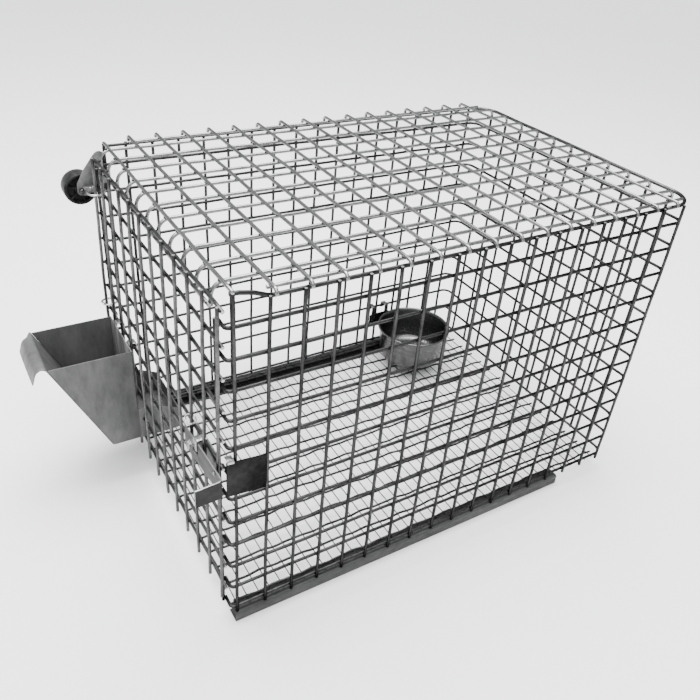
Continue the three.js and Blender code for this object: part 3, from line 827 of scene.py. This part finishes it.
def keeper_parts():
    """A plate on the near wall, tilted a little, with a small tab folded in at its top corner."""
    face, end_x = -4.35, 23

    def lift(x):
        return 3.2 * (end_x - x) / 31 - 0.6

    outline = [
        (-8, 149.3), (-7.2, 148.5), (22.2, 148.5), (end_x, 149.3), (end_x, 180.2), (22.2, 181), (-8, 181),
    ]
    main = plate("keeper_plate", outline, 1.3, lambda a, b, c: (a, face + c, b + lift(a)), dark_sheet, 0.3)
    tab = folded(
        "keeper_tab", [(face + 0.7, 179.8), (face + 0.7, 182.2), (1.5, 182.2)],
        lambda p, t: (t, p.x, p.y + lift(t)), [-7.4, -6.6, -3.2, -2.2], 1.2, 1.0, bright_steel,
    )
    return main, tab


# ---- hopper ---------------------------------------------------------------------------------


def hopper_parts():
    """The sloping front with its curled lip, the cheeks, the back and the two hooks."""
    front = [
        (HOPPER_FRONT - 12.6, HOPPER_RIM - 12.3), (HOPPER_FRONT - 8.3, HOPPER_RIM + 1.0),
        (HOPPER_FRONT - 1.2, HOPPER_RIM + 1.0), (HOPPER_FOOT - 1.5, HOPPER_FLOOR + 0.2),
        (HOPPER_BACK, HOPPER_FLOOR + 0.2),
    ]

    def spread(p, t):
        # the lip bulges a little at its middle and narrows towards its ends
        middle = (t - HOPPER_NEAR) / (HOPPER_FAR - HOPPER_NEAR) - 0.5
        curl = 0.27 * (1 - 4 * middle * middle) if p.x < HOPPER_FRONT - 6 else 0
        past = min(max((HOPPER_FRONT - 1.5 - p.x) / 3.5, 0), 1)
        inset = past * (9 * (middle + 0.5) - 1.5 * (0.5 - middle))
        return p.x - curl, t - inset, p.y + curl

    made = [folded(
        "hopper_front", front, spread, steps(HOPPER_NEAR, HOPPER_FAR, 12), [7, 3, 2.6], -SHEET, hopper_sheet,
    )]
    cheek = [
        (HOPPER_BACK, HOPPER_FLOOR), (HOPPER_BACK, HOPPER_RIM), (HOPPER_FRONT + 0.5, HOPPER_RIM),
        (HOPPER_FOOT - 2.4, HOPPER_FLOOR + 2.2), (HOPPER_FOOT - 0.5, HOPPER_FLOOR + 0.3),
        (HOPPER_FOOT + 2, HOPPER_FLOOR),
    ]
    for name, y in (("cheek_near", HOPPER_NEAR), ("cheek_far", HOPPER_FAR - SHEET)):
        made.append(plate(name, cheek, SHEET, lambda a, b, c, y=y: (a, y + c, b), hopper_sheet, 0.2))
    back_foot = 86
    back = [
        (HOPPER_NEAR, back_foot), (HOPPER_FAR, back_foot),
        (HOPPER_FAR, HOPPER_RIM), (HOPPER_NEAR, HOPPER_RIM),
    ]
    made.append(plate(
        "hopper_back", back, SHEET, lambda a, b, c: (HOPPER_BACK - SHEET + c, a, b), hopper_streak, 0.2,
    ))
    over, hook_width = 154.2, 8
    for name, near in (("hook_near", HOPPER_NEAR + 9.5), ("hook_far", HOPPER_FAR - 19)):
        made.append(folded(
            name, [(-13.6, 128), (-13.6, over), (-7.5, over), (-7.5, 146.7)],
            lambda p, t: (p.x, t, p.y), steps(near, near + hook_width, 2), 1.3, -SHEET, bright_steel,
        ))
    return made


def trough_parts():
    """The trough inside the door: two cheeks, and a floor that turns up at its inner end."""
    start, end, floor, lip, top = HOPPER_BACK + 0.3, 25, HOPPER_FLOOR, 74, 86
    outline = [(start, floor), (end, floor), (end, lip), (0, top), (start, top)]
    made = []
    for name, y in (("trough_near", HOPPER_NEAR), ("trough_far", HOPPER_FAR - SHEET)):
        made.append(plate(name, outline, SHEET, lambda a, b, c, y=y: (a, y + c, b), trough_sheet, 0.2))
    made.append(folded(
        "trough_floor", [(start, floor + 0.1), (end - 0.1, floor + 0.1), (end - 0.1, lip)],
        lambda p, t: (p.x, t, p.y), steps(HOPPER_NEAR, HOPPER_FAR, 8), 2.2, SHEET, trough_sheet,
    ))
    return made


# ---- cup -----------------------------------------------------------------------------------

CUP_X, CUP_Y, CUP_Z = 347, 247.4, 17
CUP_R = 45
HANGER = 1.2


def cup_parts():
    """A turned bowl with a rolled rim, its two hooks over a row, and the plate between them."""
    profile = [(0, 0), (29, 0), (34, 0.8), (37.4, 3.4), (39.2, 8), (42.4, 39), (42.9, 40.2)]
    rim_turns = (-1.5, -0.9, -0.3, 0.3, 0.9, 1.5, 2.1, 2.7)
    profile += [(43.8 + 1.2 * math.cos(a), 41.7 + 1.3 * math.sin(a)) for a in rim_turns]
    profile += [(41.6, 40), (38.2, 8), (36.6, 4.2), (33.6, 1.9), (29, 1.1), (0, 1.1)]
    made = [lathe(
        "cup_bowl", profile, lambda x, y, h: (CUP_X + x, CUP_Y + y, CUP_Z + h), cup_steel, 72, False,
    )]
    plate_y = CUP_Y + CUP_R + 0.3
    front = plate_y + 0.6
    behind = WIDTH - ROW_Y + 2.5
    over = SIDE_ROWS[2] + 2.4
    for name, x in (("cup_hook_low", 313), ("cup_hook_high", 332)):
        made.append(folded(
            name, [(front, 45), (front, over), (behind, over), (behind, over - 7.1)],
            lambda p, t: (t, p.x, p.y), steps(x, x + 5, 2), 1.2, HANGER, cup_steel,
        ))
    made.append(plate(
        "cup_plate", [(311, 44), (341, 44), (341, 57), (339, 59), (313, 59), (311, 57)], HANGER,
        lambda a, b, c: (a, plate_y + c, b), dark_sheet,
    ))
    return made


# ---- wheel and its bracket -------------------------------------------------------------------

AXLE_X, AXLE_Z = -18, 266.8
RIVET_X, RIVET_Z = -4.2, 281
RIVET_HOLE = (RIVET_X, RIVET_Z, 1.6)
WHEEL_Y = 307
BRACKET_Y = 303.2


def arc(cx, cz, r, start, end, count=6):
    turns = [math.radians(start + (end - start) * k / count) for k in range(count + 1)]
    return [(cx + r * math.cos(a), cz + r * math.sin(a)) for a in turns]


def bracket_parts():
    """The gusset with its lower flange, the washer plate, the rivet and the wheel's axle."""
    thick = 1.2
    outline = [
        (5, 264.5), (5, 300), (3.8, 301.4), (1.6, 302.5), (-1, 302.3), (-3.6, 300.6), (-6.6, 297),
        (-15, 286), (-21.6, 274.4),
    ]
    outline += arc(AXLE_X, AXLE_Z, 4, 180, 270)
    outline += [(-15.6, 262), (-13, 261.9), (-11.2, 262.8), (-10.4, 264.5)]
    gusset = plate(
        "bracket_gusset", outline, thick, lambda a, b, c: (a, BRACKET_Y + c, b), bracket_sheet, 0.25,
        [(AXLE_X, AXLE_Z, 2.1), RIVET_HOLE],
    )
    flange = folded(
        "bracket_flange", [(294.5, 273.2), (294.5, 270.4), (303.6, 270.4)],
        lambda p, t: (t, p.x, p.y), steps(-17, -1.8, 4), 1.6, 1.0, bracket_sheet,
    )
    washer = plate(
        "washer_plate", [(-8, 275), (4, 275), (4, 287), (-8, 287)], thick,
        lambda a, b, c: (a, 295.4 + c, b), bracket_sheet, 0.25, [RIVET_HOLE],
    )
    dome = [
        (0, 0), (1.6, 0.15), (2.5, 0.6), (2.8, 1.2), (1.3, 1.2),
        (1.3, 10.8), (2.8, 10.8), (2.5, 11.4), (1.6, 11.85), (0, 12),
    ]
    rivet = lathe(
        "rivet", dome, lambda x, y, h: (RIVET_X + x, 293.9 + h, RIVET_Z + y), bright_steel, 24, False,
    )
    pin = [
        (0, 0), (1.8, 0.1), (2.5, 0.6), (2.7, 1.2), (2.7, 2.2), (2, 2.2), (2, 4), (3.4, 4), (3.4, 6),
        (2, 6), (2, 22.6), (3.4, 22.6), (3.4, 23.9), (3, 24.3), (0, 24.3),
    ]
    axle = lathe("axle", pin, lambda x, y, h: (AXLE_X + x, 300.7 + h, AXLE_Z + y), pin_steel, 32, False)
    return [gusset, flange, washer, rivet, axle]


def wheel_parts():
    """The wheel, hollow between hub and rim on both faces, with six ribs in each hollow."""
    r, width, hub, rim, web, bore = 14.8, 16, 5, 12, 4, 2.12
    profile = [
        (bore, 0.4), (2.6, 0), (hub - 0.4, 0), (hub, 0.5), (hub + 0.3, web), (rim - 0.3, web), (rim, 0.5),
        (rim + 0.4, 0), (r - 1.3, 0), (r - 0.4, 0.5), (r - 0.05, 1.6), (r, 8), (r - 0.05, 14.4),
        (r - 0.4, 15.5), (r - 1.3, width), (rim + 0.4, width), (rim, width - 0.5),
        (rim - 0.3, width - web), (hub + 0.3, width - web), (hub, width - 0.5), (hub - 0.4, width),
        (2.6, width), (bore, width - 0.4),
    ]
    tread = lathe(
        "wheel_tread", profile, lambda x, y, h: (AXLE_X + x, WHEEL_Y + h, AXLE_Z + y), black_plastic, 56,
    )
    build = Build()
    outline = [0, 2, 4, 5, 3, 1]
    for k in range(6):
        turn = Matrix.Rotation(k * math.pi / 3 + 0.3, 3, "Y")
        for near, far in ((0.8, 4.6), (11.4, 15.2)):
            # a rib is a tapered bar: three pairs of corners at its hub end, then at its rim end
            first = len(build.verts)
            for x in (4.4, 12.5):
                for y, half in ((near, 0.4), (near + 0.3, 0.62), (far, 0.75)):
                    for side in (-1, 1):
                        p = turn @ Vector((x, 0, side * half))
                        build.verts.append(Vector((AXLE_X + p.x, WHEEL_Y + y, AXLE_Z + p.z)))
            for a, b in zip(outline, outline[1:] + outline[:1]):
                build.face((first + a, first + b, first + 6 + b, first + 6 + a), False)
            build.face(tuple(first + i for i in reversed(outline)), False)
            build.face(tuple(first + 6 + i for i in outline), False)
    return [tread, build.make("wheel_ribs", [black_plastic])]


# ---- the pieces and their bodies ---------------------------------------------------------------


def piece(obj, body, slot, *nodes):
    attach(obj, body)
    if nodes:
        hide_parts(*nodes)


piece(wall_mesh(), "cage_body", "mesh_wire", "near_side_mesh", "far_side_mesh", "blind_end_mesh",
      "doorway_lip_near", "doorway_lip_far")
piece(roof_panel(), "cage_body", "mesh_wire", "roof_mesh", "doorway_lip_top")
piece(end_frame_wire(), "cage_body", "bright_wire", "blind_end_top_wire")
piece(floor_grid(), "cage_body", "floor_wire", "floor_mesh")
piece(runner("runner_rail_near", 0, 1), "cage_body", "dark_sheet", "runner_near")
piece(runner("runner_rail_far", WIDTH, -1), "cage_body", "dark_sheet", "runner_far")
keeper_main, keeper_tab = keeper_parts()
piece(keeper_main, "cage_body", "dark_sheet", "latch_keeper")
piece(keeper_tab, "cage_body", "dark_sheet")
piece(hinge_clip("hinge_clip_low", 57, 1.2), "cage_body", "bright_wire", "hinge_ring_low")
piece(hinge_clip("hinge_clip_middle", 158, -1.0), "cage_body", "bright_wire", "hinge_ring_middle")
piece(hinge_clip("hinge_clip_high", 272.4, 0.6, 7.8, 115), "cage_body", "bright_wire", "hinge_ring_high")

piece(door_panel(), "door", "mesh_wire", "door_mesh")
piece(latch_strap(), "latch", "dark_sheet", "latch_strap")
piece(latch_guide(), "door", "bright_fitting", "latch_guide")
piece(latch_backplate(), "door", "dark_sheet", "latch_backplate")
piece(latch_screw(), "door", "bright_fitting", "latch_screw")
piece(latch_eyelet(), "door", "bright_fitting")
piece(strap_stud(), "latch", "bright_fitting")

# the pieces of these groups that stand for a CAD node
STANDS_FOR = {
    "hopper_front": ["hopper_body"], "hook_near": ["hopper_hook_near"], "hook_far": ["hopper_hook_far"],
    "trough_floor": ["feed_trough"], "cup_bowl": ["cup"], "cup_plate": ["cup_hanger"],
}
for part in hopper_parts() + trough_parts():
    piece(part, "feeder", "hopper_sheet", *STANDS_FOR.get(part.name, []))
for part in cup_parts():
    finish = "cup_steel" if part.name == "cup_bowl" else "dark_sheet"
    piece(part, "cup_unit", finish, *STANDS_FOR.get(part.name, []))

gusset, flange, washer, rivet, axle = bracket_parts()
piece(gusset, "cage_body", "hopper_sheet", "wheel_bracket")
piece(flange, "cage_body", "hopper_sheet")
piece(washer, "cage_body", "hopper_sheet", "bracket_washer")
piece(rivet, "cage_body", "bright_fitting", "bracket_rivet")
piece(axle, "cage_body", "bright_fitting", "wheel_axle")
tread, ribs = wheel_parts()
piece(tread, "guide_wheel", "black_plastic", "wheel")
piece(ribs, "guide_wheel", "black_plastic")

# ---- floor, light and camera ----------------------------------------------------------------------


def studio_floor():
    bm = bmesh.new()
    bmesh.ops.create_grid(bm, x_segments=2, y_segments=2, size=40)
    mesh = bpy.data.meshes.new("studio_floor")
    bm.to_mesh(mesh)
    bm.free()
    material, tree, shader, coords = new_material("pale_floor")
    grain = noise(tree, coords, 3, 2)
    tree.links.new(tint(tree, grain, grey(0.86), grey(0.9)), shader.inputs["Base Color"])
    shader.inputs["Roughness"].default_value = 0.9
    shader.inputs["Specular IOR Level"].default_value = 0.1
    mesh.materials.append(material)
    floor = bpy.data.objects.new("studio_floor", mesh)
    bpy.context.scene.collection.objects.link(floor)


def lamp(name, kind, power, aim):
    data = bpy.data.lights.new(name, kind)
    data.energy = power
    obj = bpy.data.objects.new(name, data)
    bpy.context.scene.collection.objects.link(obj)
    obj.rotation_euler = Vector(aim).to_track_quat("-Z", "Y").to_euler()
    return obj


def studio_light():
    """An even world, a wide lamp overhead and a very soft sun."""
    world = bpy.data.worlds.new("studio")
    bpy.context.scene.world = world
    world.use_nodes = True
    back = world.node_tree.nodes["Background"]
    back.inputs["Color"].default_value = (0.95, 0.97, 1.0, 1)
    back.inputs["Strength"].default_value = 0.9
    overhead = lamp("overhead", "AREA", 62, (0, -0.2, -1.5))
    overhead.location = (0.0, 0.25, 1.5)
    overhead.data.shape = "RECTANGLE"
    overhead.data.size, overhead.data.size_y = 1.5, 0.9
    sun = lamp("soft_sun", "SUN", 4.5, (0.25, 0.35, -1))
    sun.data.angle = math.radians(70)


def photo_camera():
    """The photograph's viewing angle: heading, dip and roll of the view axis, place and lens."""
    heading, dip, roll = math.radians(33.84), math.radians(34.0), math.radians(5.35)
    place = at(-150.0, -356.3, 539.1)
    forward = Vector((math.sin(heading) * math.cos(dip), math.cos(heading) * math.cos(dip), -math.sin(dip)))
    level = Vector((math.cos(heading), -math.sin(heading), 0))
    upright = level.cross(forward)
    right = level * math.cos(roll) + upright * math.sin(roll)
    up = right.cross(forward)
    data = bpy.data.cameras.new("photo_camera")
    data.sensor_width = 36
    data.lens = 37.5
    data.clip_start = 0.01
    camera = bpy.data.objects.new("photo_camera", data)
    bpy.context.scene.collection.objects.link(camera)
    turn = Matrix((right, up, -forward)).transposed()
    camera.matrix_world = Matrix.Translation(place) @ turn.to_4x4()
    bpy.context.scene.camera = camera


studio_floor()
studio_light()
photo_camera()
